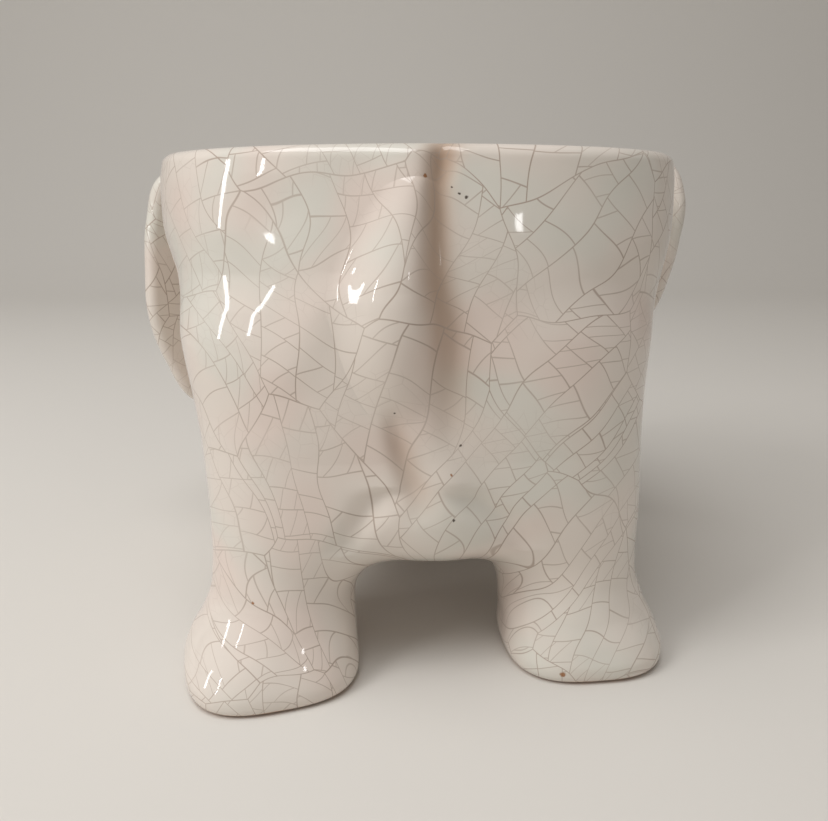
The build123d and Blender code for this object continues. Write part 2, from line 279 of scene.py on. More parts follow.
def ellipsoid_field(x, y, z, centre, half_sizes):
    """Distance from an ellipsoid, near enough: the place's radius times its share beyond the surface."""
    cx, cy, cz = centre
    a, b, c = half_sizes
    reach = np.sqrt(((x - cx) / a) ** 2 + ((y - cy) / b) ** 2 + ((z - cz) / c) ** 2) + 1e-9
    radius = np.sqrt((x - cx) ** 2 + (y - cy) ** 2 + (z - cz) ** 2)
    return radius * (1 - 1 / reach) + np.where(radius < 1e-6, -min(half_sizes), 0.0)


def fold(x, z, rows, widen=1.0):
    """Soft fold or ridge on the rump: a bell-shaped section along its line, measured square to the line."""
    table = np.array(rows)
    place, half_width, height = (through(table[:, [0, column]], z) for column in (1, 2, 3))
    lean = np.gradient(table[:, 1], table[:, 0])
    apart = (x - place) / np.hypot(1.0, np.interp(z, table[:, 0], lean))
    return height * np.exp(-((apart / (half_width * widen)) ** 2))


def rump_folds(x, y, z, names=tuple(RUMP_FOLDS), widen=1.0):
    """Sum of some of the rump's folds, fading out towards the flanks and the front."""
    back = np.clip((-y - RUMP_START) / RUMP_RUN, 0.0, 1.0)
    return back * back * (3 - 2 * back) * sum(fold(x, z, RUMP_FOLDS[name], widen) for name in names)


def pot_relief(x, y, z):
    """How far the clay stands out from the plain pot: the rump's folds at the back, and soft waves all
    round, about a third of a millimetre high and six to eleven centimetres long."""
    across = 0.35 * np.sin(x / 9.0 + 0.7) * np.sin(z / 11.0 + y / 17.0)
    along = 0.3 * np.sin(y / 10.0 + z / 14.0)
    return rump_folds(x, y, z) + (across + along)


def pot_gauge(x, y, drop, width, length):
    """How many times larger the pot would have to be to reach a place; below the seam the bowl closes in."""
    power = PLAN_SQUARENESS
    plan = ((np.abs(x) / width) ** power + (np.abs(y) / length) ** power) ** (1 / power)
    depth = BOWL_SEAM - BELLY_CLEARANCE
    return (plan**BOWL_SQUARENESS + (drop / depth) ** BOWL_SQUARENESS) ** (1 / BOWL_SQUARENESS)


def pot_field(x, y, z):
    """Distance outside the pot's outer skin along the ray from its axis, or in the bowl from the seam."""
    drop = np.maximum(BOWL_SEAM - z, 0.0)
    width = through(HALF_WIDTHS, z)
    length = through(HALF_LENGTHS, z)
    gauge = pot_gauge(x, y, drop, width, length) + 1e-9
    radius = np.sqrt(x * x + y * y + drop * drop)
    return radius * (1 - 1 / gauge) - pot_relief(x, y, z)


def leg_field(x, y, z, stations, side, stagger):
    """Distance outside one leg: level circles along its own line, rounded where they meet the floor. A hind
    leg is squarer at the foot, which is turned a little, and leans above the knee."""
    table = np.array(stations)
    is_hind = stagger > 0
    place_x, place_y, radius = (through(table[:, [0, column]], z) for column in (1, 2, 3))
    centre_x = side * place_x - HAUNCH_LEAN * np.maximum(z - KNEE_HEIGHT, 0.0) * is_hind
    centre_y = place_y + side * stagger / 2 * np.clip(1 - z / STAGGER_HEIGHT, 0.0, 1.0)
    foot = np.clip((FOOT_HEIGHT - z) / FOOT_HEIGHT, 0.0, 1.0) * is_hind
    square = 2.0 + FOOT_SQUARENESS * foot * foot * (3 - 2 * foot)
    turn = FOOT_TURNS[side]
    along = np.abs((x - centre_x) * math.cos(turn) + (y - centre_y) * math.sin(turn))
    across = np.abs((y - centre_y) * math.cos(turn) - (x - centre_x) * math.sin(turn))
    round_leg = (along**square + across**square + 1e-9) ** (1 / square) - radius
    return -melt(-round_leg, z, FOOT_ROUNDING)


def links_field(x, y, z, links):
    """Distance outside a chain of tapering round links."""
    nearest = np.full(np.shape(x), 1e9)
    for start, end in zip(links[:-1], links[1:]):
        run = end[:3] - start[:3]
        t = ((x - start[0]) * run[0] + (y - start[1]) * run[1] + (z - start[2]) * run[2]) / (run @ run)
        t = np.clip(t, 0.0, 1.0)
        gap_x, gap_y, gap_z = x - start[0] - t * run[0], y - start[1] - t * run[1], z - start[2] - t * run[2]
        radius = start[3] + t * (end[3] - start[3])
        nearest = np.minimum(nearest, np.sqrt(gap_x**2 + gap_y**2 + gap_z**2) - radius)
    return nearest


def tail_field(x, y, z):
    """Distance outside the tail: two long lobes on a leaning line, sunk in the rump and melted together."""
    across = x - through(TAIL_LINE, z)
    above = pot_field(x, y, z)
    lobes = [
        ellipsoid_field(across, z, above, (0.0, height, -sunk), half_sizes)
        for height, half_sizes, sunk in TAIL_LOBES
    ]
    return melt(*lobes, TAIL_LOBE_BLEND)


def head_field(x, y, z):
    """Distance outside the head: a skull with two brow domes and cheeks, melted into a muzzle, with a
    raised lid round each eye."""
    skull = ellipsoid_field(x, y, z, *SKULL)
    aside = np.sqrt(x * x + MIDLINE_ROUNDING**2)  # both sides at once, rounded where they meet
    brow = ellipsoid_field(aside, y, z, *BROW)
    cheek = ellipsoid_field(aside, y, z, *CHEEK)
    muzzle = ellipsoid_field(x, y, z, *MUZZLE)
    form = melt(melt(melt(skull, brow, FACE_BLEND), cheek, FACE_BLEND), muzzle, FACE_BLEND)
    eye_x, eye_y, eye_z = EYE
    apart = np.sqrt((np.abs(x) - eye_x) ** 2 + (y - eye_y) ** 2 + (z - eye_z) ** 2)
    return form - LID_HEIGHT * np.exp(-(((apart - LID_RADIUS) / LID_WIDTH) ** 2))


def trunk_links(count):
    """Links of the trunk: points of a smooth curve through its chosen points, with the radius at each."""
    points = np.array(TRUNK_LINE)
    run = np.concatenate([[0.0], np.cumsum(np.hypot(*np.diff(points, axis=0).T))])
    at = np.linspace(0.0, run[-1], count)
    forward = through(np.stack([run, points[:, 0]], 1), at)
    height = through(np.stack([run, points[:, 1]], 1), at)
    radius = TRUNK_RADII[0] + (TRUNK_RADII[1] - TRUNK_RADII[0]) * (at / run[-1]) ** TRUNK_TAPER
    return np.stack([0 * at, forward, height, radius], 1)


def trunk_field(x, y, z):
    """Distance outside the trunk: tapering round links along its line, with shallow level rings round it."""
    below, above = (RING_TOP - z) / RING_TOP_RUN, (z - RING_FOOT) / RING_FOOT_RUN
    rings = np.clip(below, 0.0, 1.0) * np.clip(above, 0.0, 1.0)
    rings = RING_HEIGHT * rings * np.cos(2 * np.pi * z / RING_SPACING)
    return links_field(x, y, z, trunk_links(TRUNK_LINKS)) - rings


def ear_field(x, y, z, side):
    """Distance outside one ear: a cupped plate with a rounded edge along its outline, on a plane swept back
    from the head."""
    out = side * x * math.cos(EAR_SWEEP) - y * math.sin(EAR_SWEEP)
    facing = side * x * math.sin(EAR_SWEEP) + y * math.cos(EAR_SWEEP) - EAR_STAND_OFF
    outline = np.array(EAR_OUTLINES[side]) - EAR_CENTRE
    angle = np.arctan2(outline[:, 1], outline[:, 0])
    order = np.argsort(angle)
    angle, reach = angle[order], np.hypot(*outline[order].T)
    angle = np.concatenate([angle - 2 * np.pi, angle, angle + 2 * np.pi])
    edge = np.stack([angle, np.tile(reach, 3)], 1)
    here = np.arctan2(z - EAR_CENTRE[1], out - EAR_CENTRE[0])
    radius = np.hypot(out - EAR_CENTRE[0], z - EAR_CENTRE[1])
    past_edge = (radius - through(edge, here)) * EAR_EDGE_SLANT + EAR_EDGE_ROUNDING
    cup = EAR_CUP * np.sin(out / EAR_CUP_ACROSS) * np.cos((z - EAR_CENTRE[1]) / EAR_CUP_UP)
    past_face = np.abs(facing - cup) - EAR_FLAT
    outside_edge, outside_face = np.maximum(past_edge, 0.0), np.maximum(past_face, 0.0)
    corner = np.sqrt(outside_edge * outside_edge + outside_face * outside_face)
    return corner + np.minimum(np.maximum(past_edge, past_face), 0.0) - EAR_EDGE_ROUNDING


def trace(field, low, high, step=TRACE_STEP):
    """Closed skin where a field is zero: one point in each cell of a grid that the surface crosses, drawn
    onto the surface along the field's slope, and one face across each grid edge whose ends lie on different
    sides."""
    axes = [np.arange(a - 2 * step, b + 3 * step, step) for a, b in zip(low, high)]
    inside = np.zeros([len(a) for a in axes], bool)
    inside[1:-1, 1:-1, 1:-1] = field(*np.meshgrid(*(a[1:-1] for a in axes), indexing="ij")) < 0
    cells = np.zeros(np.array(inside.shape) - 1, np.int8)
    for corner in np.ndindex(2, 2, 2):
        cells += inside[tuple(slice(c, n - 1 + c) for c, n in zip(corner, inside.shape))]
    crossed = (cells > 0) & (cells < 8)
    number = np.full(cells.shape, -1)
    number[crossed] = np.arange(crossed.sum())
    points = np.argwhere(crossed) * step + step / 2 + np.array([a[0] for a in axes])
    home, leash = points.copy(), 0.75 * step
    for _ in range(4):
        slope = slopes(field, points)
        value = field(*points.T)
        move = -slope * (value / np.maximum((slope**2).sum(1), 0.05))[:, None]
        points = np.clip(points + move, home - leash, home + leash)
    faces = []
    for axis in range(3):
        second, third = (axis + 1) % 3, (axis + 2) % 3
        change = np.diff(inside.astype(np.int8), axis=axis)
        edge = np.argwhere(change)
        turn = change[tuple(edge.T)] > 0
        corners = []
        for back in ((1, 1), (0, 1), (0, 0), (1, 0)):
            cell = edge.copy()
            cell[:, second] -= back[0]
            cell[:, third] -= back[1]
            corners.append(number[tuple(cell.T)])
        quad = np.stack(corners, 1)
        quad[turn] = quad[turn][:, ::-1]
        faces.append(quad)
    return points, np.concatenate(faces)


def slopes(field, points, reach=0.05):
    """Slope of a field at points, from its change over a short reach each way."""
    slope = np.zeros_like(points)
    for axis in range(3):
        step = np.zeros(3)
        step[axis] = reach
        slope[:, axis] = (field(*(points + step).T) - field(*(points - step).T)) / (2 * reach)
    return slope


def grid_faces(rows, columns):
    """Faces of a grid of points that is closed round its columns."""
    row, column = np.meshgrid(np.arange(rows - 1), np.arange(columns), indexing="ij")
    after = (column + 1) % columns
    here, above = row * columns, (row + 1) * columns
    return np.stack([here + column, here + after, above + after, above + column], -1).reshape(-1, 4)


def round_sheet(points):
    """Plan of the pot's skin: how far round the axis from the tail, how high, with level parts laid out
    inwards, and how far out from the axis."""
    x, y, z = points.T
    out, turn = np.hypot(x, y), np.arctan2(x, -y)
    # Skin that runs straight outwards is spread sideways, so that it doesn't fold up to a line
    spread = PLAN_SPREAD * np.hypot(out - PLAN_MIDDLE, PLAN_ROUNDING) * np.tanh(turn / PLAN_PARTING)
    return np.stack([PLAN_RADIUS * turn + spread, z - PLAN_FALL * out, out], 1)


def head_sheet(points):
    """Plan of the head's and trunk's skin, laid out from the front."""
    x, y, z = points.T
    ahead = y - HEAD_PLAN_AXIS
    turn = HEAD_PLAN_START + HEAD_PLAN_RADIUS * np.arctan2(x, ahead)
    return np.stack([turn, z - PLAN_FALL * np.hypot(x, ahead), 0 * x + PLAN_MIDDLE], 1)


def ear_sheet(points):
    """Plan of the ears' skin, seen from behind."""
    x, _, z = points.T
    return np.stack([EAR_PLAN_START + EAR_PLAN_STRETCH * x, z, 0 * x + PLAN_MIDDLE], 1)


def clay_piece(node, points, normals, quads, tris=None, sheet=round_sheet):
    """Puts a skin into a mesh in the shared frame, gives it the glaze and lets it stand for its CAD node."""
    mesh = bpy.data.meshes.new(node + "_skin")
    place = (points + np.array([0.0, AXIS_Y, 0.0])) * MM
    tris = np.zeros((0, 3), int) if tris is None else tris
    corner_list = np.concatenate([quads.ravel(), tris.ravel()])
    starts = np.concatenate([np.arange(len(quads)) * 4, len(quads) * 4 + np.arange(len(tris)) * 3])
    mesh.vertices.add(len(place))
    mesh.vertices.foreach_set("co", place.ravel())
    mesh.loops.add(len(corner_list))
    mesh.loops.foreach_set("vertex_index", corner_list)
    mesh.polygons.add(len(starts))
    mesh.polygons.foreach_set("loop_start", starts)
    mesh.update(calc_edges=True)
    mesh.validate()
    mesh.shade_smooth()
    mesh.normals_split_custom_set_from_vertices(unit(normals).tolist())
    plan = mesh.attributes.new("sheet", "FLOAT_VECTOR", "POINT")
    plan.data.foreach_set("vector", sheet(points).ravel())
    # Painted shade: how much brown is painted into the groove beside the tail and the cleft under it
    painted_shade = -rump_folds(*points.T, SHADED_FOLDS, SHADE_WIDENING) / SHADE_DEPTH
    hollow = mesh.attributes.new("hollow", "FLOAT", "POINT")
    hollow.data.foreach_set("value", np.clip(painted_shade, 0.0, 1.0))
    piece = bpy.data.objects.new(node + "_skin", mesh)
    bpy.context.scene.collection.objects.link(piece)
    mesh.materials.append(crackle_glaze)
    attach(piece, "root")
    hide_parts(node)


def unit(vectors):
    """Vectors of length one."""
    return vectors / np.maximum(np.linalg.norm(vectors, axis=-1, keepdims=True), 1e-9)


def luted_piece(node, own, carrier, blend, low, high, step=TRACE_STEP, top=None, sheet=round_sheet):
    """Piece luted on another: the two forms melted together, kept to where the piece changes the skin of
    its carrier and to a short root inside it. It is lit along the slope of the joined forms, so that no
    seam shows."""
    def below_top(field, z):
        return field if top is None else -melt(-field, top - z, TOP_ROUNDING)

    def alone(x, y, z):
        of_own, of_carrier = own(x, y, z), carrier(x, y, z)
        skin = below_top(melt(of_carrier + TUCK, of_own, blend), z)
        return np.maximum(np.maximum(skin, of_own - blend), -(of_carrier + ROOT_DEPTH))

    def joined(x, y, z):
        narrower = blend - 2 * math.sqrt(TUCK * blend)
        return below_top(melt(carrier(x, y, z) + TUCK, own(x, y, z), narrower), z)

    points, faces = trace(alone, low, high, step)
    hidden = carrier(*points.T) < -HIDDEN_DEPTH
    normals = np.where(hidden[:, None], slopes(alone, points), slopes(joined, points))
    clay_piece(node, points, normals, faces, sheet=sheet)


def linear(hex_colour):
    """sRGB hex to the linear colour that nodes take."""
    parts = [int(hex_colour[k:k + 2], 16) / 255 for k in (1, 3, 5)]
    return tuple(p / 12.92 if p <= 0.04045 else ((p + 0.055) / 1.055) ** 2.4 for p in parts) + (1.0,)


def add_node(tree, kind, settings=None, **links):
    """Adds one node: settings are its own fields, links fill its sockets with values or other sockets."""
    node = tree.nodes.new(kind)
    for name, value in (settings or {}).items():
        setattr(node, name, value)
    for name, value in links.items():
        socket = node.inputs[int(name[1:])] if name[0] == "i" and name[1:].isdigit() else node.inputs[name]
        if isinstance(value, bpy.types.NodeSocket):
            tree.links.new(value, socket)
        else:
            socket.default_value = value
    return node


def make_crackle_glaze():
    """Clear glaze over white earthenware: glassy and wet-looking, crazed into long bending cracks that
    short ones cross from one to the next. The cracks hold a grey-brown stain, brown painted shade darkens the
    groove beside the tail and the cleft under it, and the clay is bare under the feet."""
    material = bpy.data.materials.new("crackle_glaze_earthenware")
    material.use_nodes = True
    tree = material.node_tree
    tree.nodes.clear()
    object_place = add_node(tree, "ShaderNodeTexCoord").outputs["Object"]
    place = add_node(
        tree, "ShaderNodeVectorMath", {"operation": "SCALE"}, i0=object_place, Scale=1 / MM).outputs[0]
    axes = add_node(tree, "ShaderNodeSeparateXYZ", Vector=place).outputs

    # Fields some centimetres across, whose edges are the first cracks, on a gently bent plan of the skin
    sheet = add_node(tree, "ShaderNodeAttribute", {"attribute_name": "sheet"}).outputs["Vector"]
    slow = add_node(
        tree, "ShaderNodeTexNoise", Vector=sheet, Scale=1 / BEND_SIZE, Detail=1.0).outputs["Color"]
    bent = add_node(
        tree, "ShaderNodeVectorMath", {"operation": "MULTIPLY_ADD"},
        i0=slow, i1=(BEND_REACH,) * 3, i2=sheet).outputs[0]
    edge = add_node(
        tree, "ShaderNodeTexVoronoi", {"voronoi_dimensions": "2D", "feature": "DISTANCE_TO_EDGE"},
        Vector=bent, Scale=1 / FIELD_SIZE, Randomness=FIELD_RANDOMNESS).outputs["Distance"]
    field = add_node(
        tree, "ShaderNodeTexVoronoi", {"voronoi_dimensions": "2D"},
        Vector=bent, Scale=1 / FIELD_SIZE, Randomness=FIELD_RANDOMNESS)
    stain = add_node(
        tree, "ShaderNodeMapRange", {"interpolation_type": "SMOOTHSTEP"}, Value=edge,
        i1=CRACK_CORE / FIELD_SIZE, i2=CRACK_WIDTH / FIELD_SIZE, i3=CRACKS[0][1], i4=0.0).outputs[0]

    # In each field the next cracks run one way: outwards and down on both haunches, with a random turn
    luck = add_node(tree, "ShaderNodeSeparateColor", Color=field.outputs["Color"]).outputs
    middle = add_node(tree, "ShaderNodeSeparateXYZ", Vector=field.outputs["Position"]).outputs["X"]
    lean = add_node(
        tree, "ShaderNodeMapRange", Value=middle,
        i1=-HAUNCH_PLACE, i2=HAUNCH_PLACE, i3=-HAUNCH_TURN, i4=HAUNCH_TURN).outputs[0]
    turn = add_node(
        tree, "ShaderNodeMath", {"operation": "MULTIPLY_ADD"}, i0=luck[2], i1=RANDOM_TURN, i2=lean).outputs[0]
    turned = add_node(
        tree, "ShaderNodeVectorRotate", {"rotation_type": "Z_AXIS"}, Vector=bent, Angle=turn).outputs[0]
    runs = [
        add_node(
            tree, "ShaderNodeVectorMath", {"operation": "DOT_PRODUCT"}, i0=turned, i1=way).outputs["Value"]
        for way in CRACK_WAYS
    ]

    # Each family is drawn only between the cracks before it, so that it ends on them: its phase changes
    # with each cell
    shift = add_node(tree, "ShaderNodeMath", {"operation": "MULTIPLY"}, i0=luck[0], i1=FIELD_PHASE).outputs[0]
    chosen = 1.0
    for run, (spacing, depth, few) in zip(runs, CRACKS):
        along = add_node(
            tree, "ShaderNodeMath", {"operation": "MULTIPLY_ADD"},
            i0=run, i1=1 / spacing, i2=shift).outputs[0]
        edge = add_node(
            tree, "ShaderNodeTexVoronoi", {"voronoi_dimensions": "1D", "feature": "DISTANCE_TO_EDGE"},
            W=along, Scale=1.0, Randomness=CRACK_RANDOMNESS).outputs["Distance"]
        cell = add_node(
            tree, "ShaderNodeTexVoronoi", {"voronoi_dimensions": "1D"},
            W=along, Scale=1.0, Randomness=CRACK_RANDOMNESS)
        line = add_node(
            tree, "ShaderNodeMapRange", {"interpolation_type": "SMOOTHSTEP"}, Value=edge,
            i1=CRACK_CORE / spacing, i2=CRACK_WIDTH / spacing, i3=depth, i4=0.0).outputs[0]
        line = add_node(tree, "ShaderNodeMath", {"operation": "MULTIPLY"}, i0=line, i1=chosen).outputs[0]
        stain = add_node(tree, "ShaderNodeMath", {"operation": "MAXIMUM"}, i0=line, i1=stain).outputs[0]
        luck = add_node(tree, "ShaderNodeSeparateColor", Color=cell.outputs["Color"]).outputs
        chosen = add_node(
            tree, "ShaderNodeMath", {"operation": "GREATER_THAN"}, i0=luck[1], i1=few).outputs[0]
        shift = add_node(
            tree, "ShaderNodeMath", {"operation": "MULTIPLY_ADD"},
            i0=luck[0], i1=CELL_PHASE, i2=shift).outputs[0]

    # Fine hair cracks in patches, fainter than the rest
    hair = add_node(
        tree, "ShaderNodeTexVoronoi", {"voronoi_dimensions": "2D", "feature": "DISTANCE_TO_EDGE"},
        Vector=bent, Scale=1 / HAIR_SIZE).outputs[0]
    hair = add_node(
        tree, "ShaderNodeMapRange", {"interpolation_type": "SMOOTHSTEP"}, Value=hair,
        i1=HAIR_CORE / HAIR_SIZE, i2=HAIR_WIDTH / HAIR_SIZE, i3=HAIR_DEPTH, i4=0.0).outputs[0]
    patch = add_node(tree, "ShaderNodeTexNoise", Vector=place, Scale=1 / PATCH_SIZE, Detail=1.0).outputs
    patchy = add_node(
        tree, "ShaderNodeMapRange", {"interpolation_type": "SMOOTHSTEP"},
        Value=patch[0], i1=0.54, i2=0.62).outputs[0]
    hair = add_node(tree, "ShaderNodeMath", {"operation": "MULTIPLY"}, i0=hair, i1=patchy).outputs[0]
    stain = add_node(tree, "ShaderNodeMath", {"operation": "MAXIMUM"}, i0=stain, i1=hair).outputs[0]

    # All cracks are stained more in some patches than in others
    strength = add_node(
        tree, "ShaderNodeMapRange", Value=patch[0], i1=0.35, i2=0.65, i3=1.0, i4=0.6).outputs[0]
    stain = add_node(tree, "ShaderNodeMath", {"operation": "MULTIPLY"}, i0=stain, i1=strength).outputs[0]

    # The middle of the floor and of the belly stayed whole
    out = add_node(tree, "ShaderNodeSeparateXYZ", Vector=sheet).outputs["Z"]
    whole = add_node(
        tree, "ShaderNodeMapRange", {"interpolation_type": "SMOOTHSTEP"},
        Value=out, i1=WHOLE_RADIUS, i2=CRAZED_RADIUS).outputs[0]
    stain = add_node(tree, "ShaderNodeMath", {"operation": "MULTIPLY"}, i0=stain, i1=whole).outputs[0]

    # Colour: warm white that wanders to greenish and pinkish white, and brown painted shade in the groove and
    # the cleft
    wander = add_node(
        tree, "ShaderNodeTexNoise", Vector=place, Scale=1 / TINT_SIZE, Detail=1.0).outputs["Color"]
    wander = add_node(tree, "ShaderNodeSeparateColor", Color=wander).outputs
    # Painted shade: the groove beside the tail and the cleft under it are painted brown
    groove_shade = add_node(tree, "ShaderNodeAttribute", {"attribute_name": "hollow"}).outputs["Fac"]
    colour = linear(WARM_WHITE)
    for amount, low, high, tint in (
        (wander[0], 0.46, 0.68, GREENISH_WHITE),
        (wander[1], 0.48, 0.68, PINKISH_WHITE),
        (groove_shade, 0.0, 1.3, GROOVE_SHADE_BROWN),
        (stain, 0.0, 1.0, CRACK_STAIN),
    ):
        share = add_node(
            tree, "ShaderNodeMapRange", {"interpolation_type": "SMOOTHSTEP"},
            Value=amount, i1=low, i2=high).outputs[0]
        mixed = add_node(tree, "ShaderNodeMix", {"data_type": "RGBA"}, i0=share, i6=colour, i7=linear(tint))
        colour = mixed.outputs[2]

    # Pinholes and chips at the back, where the clay shows through the glaze
    flat = add_node(
        tree, "ShaderNodeVectorMath", {"operation": "MULTIPLY"}, i0=place, i1=(1.0, 0.0, 1.0)).outputs[0]
    ragged = add_node(tree, "ShaderNodeTexNoise", Vector=place, Scale=CHIP_GRAIN, Detail=2.0).outputs["Color"]
    flat = add_node(
        tree, "ShaderNodeVectorMath", {"operation": "MULTIPLY_ADD"},
        i0=ragged, i1=(CHIP_RAGGEDNESS, 0.0, CHIP_RAGGEDNESS), i2=flat).outputs[0]
    at_back = add_node(
        tree, "ShaderNodeMath", {"operation": "LESS_THAN"}, i0=axes["Y"], i1=CHIPS_BEHIND).outputs[0]
    for x, z, radius, tint in CHIPS:
        apart = add_node(
            tree, "ShaderNodeVectorMath", {"operation": "DISTANCE"},
            i0=flat, i1=(x + CHIP_RAGGEDNESS / 2, 0.0, z + CHIP_RAGGEDNESS / 2)).outputs["Value"]
        spot = add_node(
            tree, "ShaderNodeMapRange", {"interpolation_type": "SMOOTHSTEP"}, Value=apart,
            i1=radius * 0.6, i2=radius * 1.2, i3=0.9, i4=0.0).outputs[0]
        spot = add_node(tree, "ShaderNodeMath", {"operation": "MULTIPLY"}, i0=spot, i1=at_back).outputs[0]
        colour = add_node(
            tree, "ShaderNodeMix", {"data_type": "RGBA"}, i0=spot, i6=colour, i7=linear(tint)).outputs[2]

    # Bare, dry clay under the feet, up to a wavy edge where the glaze stops
    wavy = add_node(
        tree, "ShaderNodeMath", {"operation": "MULTIPLY_ADD"}, i0=patch[0], i1=-3.0, i2=axes["Z"]).outputs[0]
    bare = add_node(
        tree, "ShaderNodeMapRange", {"interpolation_type": "SMOOTHSTEP"}, Value=wavy,
        i1=-0.9, i2=-0.3, i3=1.0, i4=0.0).outputs[0]
    colour = add_node(
        tree, "ShaderNodeMix", {"data_type": "RGBA"}, i0=bare, i6=colour, i7=linear(BARE_CLAY)).outputs[2]
    dry = add_node(
        tree, "ShaderNodeMath", {"operation": "MULTIPLY_ADD"},
        i0=bare, i1=BARE_ROUGHNESS, i2=GLAZE_ROUGHNESS).outputs[0]

    # The glaze lies in slow swells, which bend the reflections a little
    swell = add_node(tree, "ShaderNodeTexNoise", Vector=place, Scale=1 / SWELL_SIZE, Detail=1.0).outputs[0]
    skin = add_node(tree, "ShaderNodeBump", Strength=1.0, Distance=SWELL_HEIGHT * MM, Height=swell).outputs[0]
    shader = add_node(tree, "ShaderNodeBsdfPrincipled", i0=colour, Roughness=dry, IOR=GLAZE_IOR, Normal=skin)
    add_node(tree, "ShaderNodeOutputMaterial", Surface=shader.outputs[0])
    return material


def make_pot():
    """Pot: rays from its axis, and from the seam's centre for the bowl, stopped on the outer skin; then the
    rim as a half round, the inner wall a wall's thickness further in, and the floor, as one grid of turns
    by rows. The turns lie closer together at the rump, where the relief is."""
    turns, finer = ((480, 2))
    bowl_rows, wall_rows, lip_rows, inner_rows, floor_rows = 28 * finer, 32 * finer, 17, 18, 23
    under_pole, floor_pole = 88.8, 88.5  # degrees down at which the rows stop and a fan closes the middle
    rump_turn, rump_spread, rump_crowding = 270.0, 35.0, 1.6
    fine = np.radians(np.linspace(0.0, 360.0, 3601))
    share = np.cumsum(1 + rump_crowding * np.exp(-((np.degrees(fine) - rump_turn) / rump_spread) ** 2))
    turn = np.interp(np.arange(turns) / turns, (share - share[0]) / (share[-1] - share[0]), fine)
    cos, sin = np.cos(turn)[None, :], np.sin(turn)[None, :]
    dip = np.radians(np.linspace(under_pole, 0.0, bowl_rows, endpoint=False))[:, None]
    one = np.ones_like(cos)
    ray = np.stack([np.cos(dip) * cos, np.cos(dip) * sin, -np.sin(dip) * one], -1)
    gauge = pot_gauge(ray[..., 0], ray[..., 1], -ray[..., 2], HALF_WIDTHS[0][1], HALF_LENGTHS[0][1])
    bowl = ray / gauge[..., None] + np.array([0.0, 0.0, BOWL_SEAM])
    bowl = bowl + ray * pot_relief(bowl[..., 0], bowl[..., 1], bowl[..., 2])[..., None]
    rim = WALL / 2
    heights = np.linspace(BOWL_SEAM, RIM_HEIGHT - rim, wall_rows)[:, None]
    wall = wall_points(heights, cos, sin, 0.0)
    lip_turn = np.radians(np.linspace(0.0, 180.0, lip_rows)[1:-1])[:, None]
    lip = wall_points(RIM_HEIGHT - rim + 0 * lip_turn, cos, sin, rim * (1 - np.cos(lip_turn)))
    lip[..., 2] = (RIM_HEIGHT - rim + rim * np.sin(lip_turn)) * one
    inner = wall_points(np.linspace(RIM_HEIGHT - rim, BOWL_SEAM, inner_rows)[:, None], cos, sin, WALL)
    inner_dip = np.radians(np.linspace(0.0, floor_pole, floor_rows)[1:])[:, None]
    plan = np.cos(inner_dip) ** (2 / BOWL_SQUARENESS)
    inner_bowl = inner[-1][None] * np.stack([plan * one, plan * one, one + 0 * plan], -1)
    fall = (BOWL_SEAM - FLOOR_TOP) * np.sin(inner_dip) ** (2 / BOWL_SQUARENESS)
    inner_bowl[..., 2] = (BOWL_SEAM - fall) * one
    rows = np.concatenate([bowl, wall, lip, inner, inner_bowl])
    outer = len(bowl) + len(wall)
    skin_slope = slopes(pot_field, rows[:outer].reshape(-1, 3))
    rows[..., 2] -= rim_sag(rows[..., 0], rows[..., 2])
    around = np.roll(rows, -1, 1) - np.roll(rows, 1, 1)
    normals = np.cross(around, np.gradient(rows, axis=0)).reshape(-1, 3)
    normals[:len(skin_slope)] = skin_slope
    points = rows.reshape(-1, 3)
    under, floor = len(points), len(points) + 1
    ends = np.array([[0.0, 0.0, rows[0, :, 2].mean()], [0.0, 0.0, rows[-1, :, 2].mean()]])
    column = np.arange(turns)
    after = (column + 1) % turns
    last = (len(rows) - 1) * turns
    tris = np.concatenate([
        np.stack([np.full(turns, under), after, column], 1),
        np.stack([np.full(turns, floor), last + column, last + after], 1),
    ])
    normals = np.concatenate([normals, [[0.0, 0.0, -1.0], [0.0, 0.0, 1.0]]])
    clay_piece("pot", np.concatenate([points, ends]), normals, grid_faces(len(rows), turns), tris)


def rim_sag(x, z):
    """The rim dips a little towards the corners of the pot."""
    near = np.clip((z - SAG_START) / SAG_RUN, 0.0, 1.0)
    return near * near * SAG_DEPTH * (np.abs(x) / SAG_HALF_WIDTH) ** 2


def wall_points(heights, cos, sin, inset):
    """Points of the wall at some heights, a distance inside its outer skin."""
    width, length = through(HALF_WIDTHS, heights), through(HALF_LENGTHS, heights)
    reach = 1 / pot_gauge(cos, sin, 0.0, width, length)
    inner_share = np.clip(inset / WALL, 0.0, 1.0)
    relief = pot_relief(reach * cos, reach * sin, heights)
    reach = reach + relief * (1 - inner_share) - inset
    return np.stack([reach * cos, reach * sin, heights * np.ones_like(cos)], -1)


def node_box(node):
    """Corners of a CAD node's box, in millimetres from the pot's axis."""
    return [np.array(corner) / MM - np.array([0.0, AXIS_Y, 0.0]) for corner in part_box(node)]


def make_leg(node, stations, side, stagger):
    """Leg: traced from its own field, and melted into the belly and the flank."""
    def own(x, y, z):
        return leg_field(x, y, z, stations, side, stagger)
    low, high = node_box(node)
    room = np.array([LEG_BLEND, LEG_BLEND, LEG_HEADROOM])
    luted_piece(node, own, pot_field, LEG_BLEND, low - room * [1.0, 1.0, 0.0], high + room)


def make_ear(node, side):
    """Ear: traced from its own field, and melted into the side of the head."""
    def own(x, y, z):
        return ear_field(x, y, z, side)
    low, high = node_box(node)
    luted_piece(node, own, head_field, EAR_BLEND, low - EAR_ROOM_LOW, high + EAR_ROOM_HIGH, sheet=ear_sheet)


